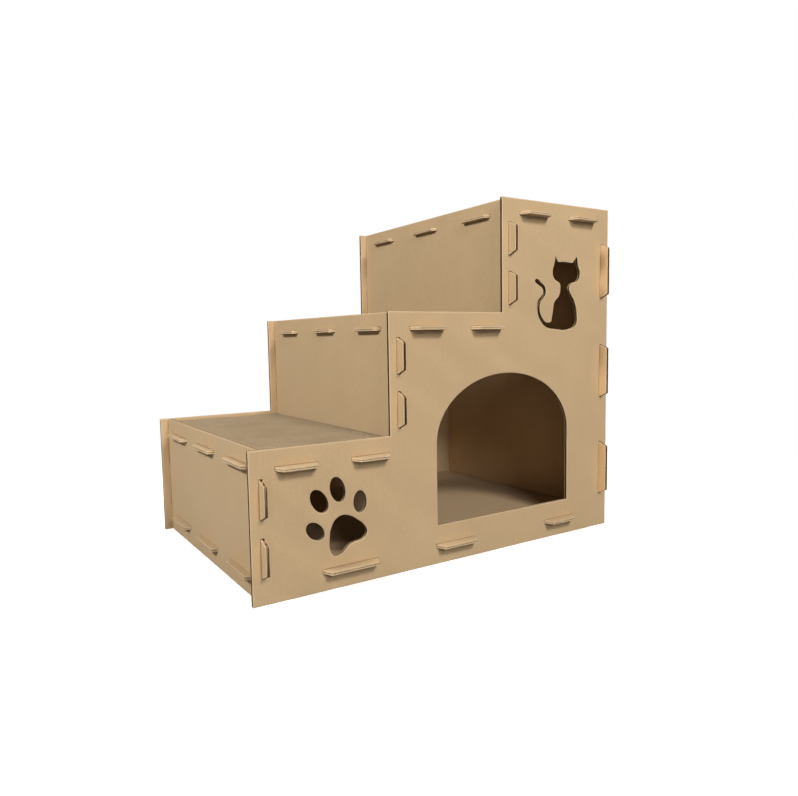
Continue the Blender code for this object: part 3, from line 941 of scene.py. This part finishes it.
@dataclass
class CorrugatedBoard(HousePiece):
    """One slotted board: two liners with crushed rims, and the fluted medium between them.

    The waves of its medium follow each other along the across axis and lie along the run axis.
    The side that inner_side names, 1 or -1, faces into the house and takes the lighter liner of
    painted light. The channel is how far the medium stands back from a cut along its waves, and
    set_back from a cut across them. The fold closes the liners over the cut, from inside.
    """

    node: str
    across: Axis
    run: Axis
    seed: float
    body: str = "house"
    slot: str = "kraft_board"
    inner_side: int = 0
    liner: float = 0.00045
    paper: float = 0.00030
    pitch: float = FLUTE_PITCH
    columns_per_flute: int = 8
    channel: float = 0.0030
    set_back: float = 0.0009
    crush: float = 0.00030
    crush_spread: float = 0.00014
    crush_scale: float = 95.0
    dent: float = 0.0005
    dent_scale: float = 22.0
    dent_from: float = 0.30
    dent_seed: float = 9.0
    fold: float = 0.0
    longest_side: float = 0.010
    rim: tuple[RimStep, ...] = (
        RimStep(0.0, 1.0, 1.0), RimStep(0.0004, 0.62, 0.9),
        RimStep(0.0010, 0.22, 0.5), RimStep(0.0019, 0.0, 0.0),
    )
    loops: list[Loop] = field(default_factory=list)
    thickness: float = 0.0

    def frame(self) -> Matrix:
        """Turn from the board's plane, with its flutes across and upright, to the house.

        Returns:
            The matrix.
        """
        across, run = self.across.vector, self.run.vector
        low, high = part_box(self.node)
        thin = across.cross(run)
        middle = thin * ((low + high) / 2).dot(thin)
        turned = Matrix((across, run, thin)).transposed().to_4x4()
        turned.translation = middle
        return turned

    def read_outline(self, node: Object) -> None:
        """Take the outline and holes from the frame's own board.

        Args:
            node: The board's CAD node, whose mesh is copied and left as it is.
        """
        bm = bmesh.new()
        bm.from_mesh(node.data)
        bm.transform(self.frame().inverted())
        bmesh.ops.remove_doubles(bm, verts=bm.verts, dist=WELD)
        top = max(vert.co.z for vert in bm.verts)
        self.thickness = 2 * top
        # A dict keeps the mesh's own order of faces, which makes every run's points the same
        cap = dict.fromkeys(f for f in bm.faces if all(top - v.co.z < WELD for v in f.verts))
        after: dict[BMVert, BMVert] = {}
        for face in cap:
            for corner in face.loops:
                if any(other not in cap for other in corner.edge.link_faces):
                    after[corner.vert] = corner.link_loop_next.vert
        while after:
            vert = next(iter(after))
            points: list[tuple[float, float]] = []
            while vert in after:
                points.append((vert.co.x, vert.co.y))
                vert = after.pop(vert)
            self.loops.append(divided(np.array(points), self.longest_side))
        bm.free()

    def crushed(self, loop: Loop) -> list[float]:
        """How deeply the rim is pressed in, more in a few soft dents.

        Args:
            loop: Points of the rim.

        Returns:
            A depth for each point.
        """
        depths = []
        for x, y in loop:
            soft = ripple(x, y, self.dent_scale, self.seed + self.dent_seed) - self.dent_from
            waved = self.crush_spread * ripple(x, y, self.crush_scale, self.seed)
            depths.append(self.crush + waved + max(0.0, soft) * self.dent)
        return depths

    def lay_liner(self, bm: BMesh, side: int) -> None:
        """Build one liner as a closed sheet with a thickness.

        Args:
            bm: Where the sheet goes.
            side: 1 for the liner on the plane's upper side, -1 for the other.
        """
        half = self.thickness / 2
        # The side turned into the house takes the lighter liner, painted light
        shown = Part.INNER if side == self.inner_side else Part.FACE
        wear = bm.verts.layers.float["rim"]
        outer_edges: list[BMEdge] = []
        inner_edges: list[BMEdge] = []
        for loop in self.loops:
            depths = self.crushed(loop)
            rings: list[Ring] = []
            for step in self.rim:
                ring = []
                for (x, y), depth in zip(inset(loop, step.inset), depths):
                    vert = bm.verts.new((x, y, side * (half - step.drop * depth)))
                    vert[wear] = step.wear
                    ring.append(vert)
                rings.append(ring)
            under = []
            for step in (self.rim[-1], self.rim[0]):
                ring = []
                for (x, y), depth in zip(inset(loop, step.inset), depths):
                    height = half - step.drop * (depth + self.fold) - self.liner
                    ring.append(bm.verts.new((x, y, side * height)))
                under.append(ring)
            self.join_rings(bm, rings, shown)
            self.join_rings(bm, [under[1], rings[0]], Part.CUT)
            # The liner's inside face takes the deepened medium paper, painted shade
            self.join_rings(bm, [under[0], under[1]], Part.MEDIUM)
            outer_edges += self.ring_edges(bm, rings[-1])
            inner_edges += self.ring_edges(bm, under[0])
        for edges, part in ((outer_edges, shown), (inner_edges, Part.MEDIUM)):
            filled = bmesh.ops.triangle_fill(
                bm, use_beauty=True, use_dissolve=False, edges=edges, normal=(0, 0, side)
            )
            for face in filled["geom"]:
                if isinstance(face, BMFace):
                    face.material_index = part.value
                    face.smooth = False

    @staticmethod
    def ring_edges(bm: BMesh, ring: Ring) -> list[BMEdge]:
        """The edges round a closed ring of points."""
        return [bm.edges.get((a, b)) for a, b in zip(ring, [*ring[1:], ring[0]])]

    @staticmethod
    def join_rings(bm: BMesh, rings: Sequence[Ring], part: Part) -> None:
        """Bridge each ring to the next with four sided faces.

        Args:
            bm: Where the faces go.
            rings: Closed rings of as many points each.
            part: What the faces are.
        """
        for near, far in zip(rings[:-1], rings[1:]):
            for first in range(len(near)):
                second = (first + 1) % len(near)
                face = bm.faces.new((near[first], near[second], far[second], far[first]))
                face.material_index = part.value
                face.smooth = part in (Part.FACE, Part.INNER)

    def flutes(self, papers: BoardPapers) -> Mesh:
        """Build the medium: a wave cut to the board's outline, behind the liners.

        A cut across the flutes ends the wave close to the rim, and a cut along them leaves a channel.

        Args:
            papers: The shared papers and the tree that bends the sheet.

        Returns:
            The wave, in the board's plane.
        """
        back = [loop + (inset(loop, 1.0) - loop) * (self.channel, self.set_back) for loop in self.loops]
        sheet = column_sheet(back, self.pitch / self.columns_per_flute)
        room = self.thickness / 2 - self.liner - self.paper / 2
        return papers.flutes.grow(
            sheet,
            Pitch=self.pitch,
            Height=room - self.crush - self.crush_spread / 2,
            Paper=self.paper,
            Phase=self.seed,
            Medium=papers.medium,
            Cut=papers.cut,
        )

    def build(self, node: Object, papers: BoardPapers) -> Object:
        """Build the whole board in the house's place.

        Args:
            node: The board's CAD node.
            papers: The shared papers.

        Returns:
            The finished piece.
        """
        self.read_outline(node)
        slots = [papers.liners[self.across, self.run], papers.cut, papers.medium, papers.inner_liner]
        bm = bmesh.new()
        bm.verts.layers.float.new("rim")
        for side in (1, -1):
            self.lay_liner(bm, side)
        bmesh.ops.recalc_face_normals(bm, faces=bm.faces)
        wave = self.flutes(papers)
        renumber(wave, slots)
        bm.from_mesh(wave)
        bm.transform(self.frame())
        mesh = bpy.data.meshes.new(f"{self.node}_board")
        bm.to_mesh(mesh)
        bm.free()
        for material in slots:
            mesh.materials.append(material)
        return put_in_scene(mesh.name, mesh)


def flat_board(node: str, seed: float, fold: float = 0.0013) -> CorrugatedBoard:
    """A board that lies flat: its liners close over the cuts, and little of its medium shows.

    Args:
        node: Its CAD node.
        seed: Seed of its dents and flutes.
        fold: How far its liners close.

    Returns:
        The board, ready to be built.
    """
    # Its liners are the darker kraft of painted shade, found by its axes
    return CorrugatedBoard(node, Axis.X, Axis.Y, seed, channel=0.0008, crush=0.0005, fold=fold)


@dataclass
class ScratchPad(HousePiece):
    """One loose pad of corrugated strips that stand on edge, side by side."""

    node: str
    body: str
    seed: int
    slot: str = "scratch_pad"
    strip: float = 0.0050
    pitch: float = 0.0074
    paper: float = 0.00032
    ragged: float = 0.0008
    trim: float = 0.0022

    def build(self, tree: StripTree, wall: Material, cut: Material) -> Object:
        """Build the strips in the space of the CAD slab.

        Args:
            tree: The tree that makes the strips.
            wall: Paper of the strips' walls.
            cut: Their sawn edges.

        Returns:
            The finished piece.
        """
        low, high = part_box(self.node)
        size = high - low
        mesh = tree.grow(
            bpy.data.meshes.new("empty"),
            Width=size.x - 2 * self.trim,
            Length=size.y - 2 * self.trim,
            Height=size.z,
            Strip=self.strip,
            Pitch=self.pitch,
            # The wave's own half thickness and half a liner, which is two papers thick
            Wave=self.strip / 2 - 1.5 * self.paper,
            Paper=self.paper,
            Ragged=self.ragged,
            Seed=self.seed,
            Medium=wall,
            Cut=cut,
        )
        renumber(mesh, (wall, cut))
        mesh.name = f"{self.node}_strips"
        mesh.transform(Matrix.Translation(((low.x + high.x) / 2, (low.y + high.y) / 2, low.z)))
        return put_in_scene(mesh.name, mesh)


@dataclass
class CatHouse:
    """The ten boards and the three pads."""

    boards: tuple[CorrugatedBoard, ...] = (
        CorrugatedBoard("front_panel", Axis.X, Axis.Z, 1.3, inner_side=-1),
        CorrugatedBoard("back_panel", Axis.X, Axis.Z, 2.9),
        CorrugatedBoard("left_wall", Axis.Y, Axis.Z, 4.1),
        CorrugatedBoard("lower_riser", Axis.Y, Axis.Z, 5.7, inner_side=1),
        CorrugatedBoard("upper_riser", Axis.Y, Axis.Z, 7.2, inner_side=1),
        CorrugatedBoard("right_wall", Axis.Y, Axis.Z, 8.8, inner_side=-1),
        flat_board("bottom_step_panel", 10.4),
        flat_board("middle_step_panel", 11.9),
        flat_board("top_step_panel", 13.6),
        flat_board("floor_panel", 15.1, fold=0.0012),
    )
    pads: tuple[ScratchPad, ...] = (
        ScratchPad("bottom_scratch_pad", "bottom_pad", 11),
        ScratchPad("middle_scratch_pad", "middle_pad", 23),
        ScratchPad("top_scratch_pad", "top_pad", 37),
    )

    def build(self, nodes: dict[str, Object]) -> None:
        """Build and dress every piece.

        Args:
            nodes: The frame's CAD nodes by name.
        """
        papers = BoardPapers.make()
        for board in self.boards:
            board.dress(board.build(nodes[board.node], papers))
        wall, sawn = STRIP_WALL.material(), STRIP_EDGE.material()
        strips = StripTree()
        for pad in self.pads:
            pad.dress(pad.build(strips, wall, sawn))


@dataclass(frozen=True)
class Softbox:
    """A square lamp that shines at a point of the house."""

    name: str
    place: Vector
    size: float
    power: float
    aim: Vector = Vector((0.0, 0.0, 0.22))

    def build(self) -> None:
        """Hang the lamp."""
        lamp = bpy.data.lights.new(self.name, "AREA")
        lamp.shape = "SQUARE"
        lamp.size = self.size
        lamp.energy = self.power
        holder = put_in_scene(self.name, lamp)
        holder.location = self.place
        holder.rotation_euler = (self.aim - self.place).to_track_quat("-Z", "Y").to_euler()


@dataclass(frozen=True)
class PhotoCamera:
    """Where the photograph was taken from, fitted to the corners of the house."""

    place: Vector = Vector((-0.55934, -0.91408, 0.30564))
    turn: float = math.radians(32.971)
    dip: float = math.radians(5.0956)
    roll: float = math.radians(-0.965)
    focal_px: float = 667.256
    sensor: float = 36.0

    def build(self) -> None:
        """Set up the camera and make it the scene's own."""
        forward = Vector(
            (
                math.sin(self.turn) * math.cos(self.dip),
                math.cos(self.turn) * math.cos(self.dip),
                -math.sin(self.dip),
            )
        )
        level = Vector((math.cos(self.turn), -math.sin(self.turn), 0.0))
        upright = level.cross(forward)
        right = level * math.cos(self.roll) + upright * math.sin(self.roll)
        above = upright * math.cos(self.roll) - level * math.sin(self.roll)
        pose = Matrix((right, above, -forward)).transposed().to_4x4()
        pose.translation = self.place
        lens = bpy.data.cameras.new("photo_camera")
        lens.sensor_width = self.sensor
        lens.lens = self.focal_px * self.sensor / PHOTO_WIDTH_PX
        lens.clip_start = 0.01
        camera = put_in_scene("photo_camera", lens)
        camera.matrix_world = pose
        bpy.context.scene.camera = camera


@dataclass
class Studio:
    """Floor, lamps, surroundings and camera."""

    floor_side: float = 14.0
    surround: float = 0.06
    lamps: tuple[Softbox, ...] = (
        Softbox("key_softbox", Vector((0.10, -2.95, 2.50)), 0.75, 88.0),
        Softbox("low_key_softbox", Vector((-0.55, -2.90, 1.42)), 0.60, 26.0),
        Softbox("front_softbox", Vector((-1.60, -2.60, 0.45)), 1.00, 2.8),
        Softbox("side_softbox", Vector((-1.58, -0.28, 1.25)), 0.22, 26.5),
        Softbox("back_softbox", Vector((1.90, 2.40, 1.90)), 1.80, 90.0),
    )

    def build(self) -> None:
        """Build all of it."""
        self.build_floor()
        self.build_surroundings()
        for lamp in self.lamps:
            lamp.build()
        PhotoCamera().build()
        bpy.context.scene.view_settings.view_transform = "Standard"

    def build_floor(self) -> None:
        """Lay the floor that the house stands on."""
        half = self.floor_side / 2
        mesh = bpy.data.meshes.new("studio_floor")
        corners = [(-half, -half, 0.0), (half, -half, 0.0), (half, half, 0.0), (-half, half, 0.0)]
        mesh.from_pydata(corners, [], [(0, 1, 2, 3)])
        mesh.materials.append(StudioPaper().material())
        floor = put_in_scene("studio_floor", mesh)

    def build_surroundings(self) -> None:
        """White to look at, and a soft even light from all round."""
        world = bpy.data.worlds.new("studio")
        world.use_nodes = True
        bpy.context.scene.world = world
        graph = SocketTree(world.node_tree)
        graph.tree.nodes.clear()
        strength = graph.spread(seen_directly(graph), 0.0, 1.0, self.surround, 1.0)
        light = graph.output(
            "ShaderNodeBackground", {"Color": tone(1.0, 1.0, 1.0), "Strength": strength}
        )
        graph.node("ShaderNodeOutputWorld", {"Surface": light})


def main() -> None:
    """Load the frame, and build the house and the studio."""
    logging.basicConfig(level=logging.INFO, format="%(name)s: %(message)s")
    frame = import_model()
    CatHouse().build(frame["nodes"])
    Studio().build()


if __name__ == "__main__":
    main()
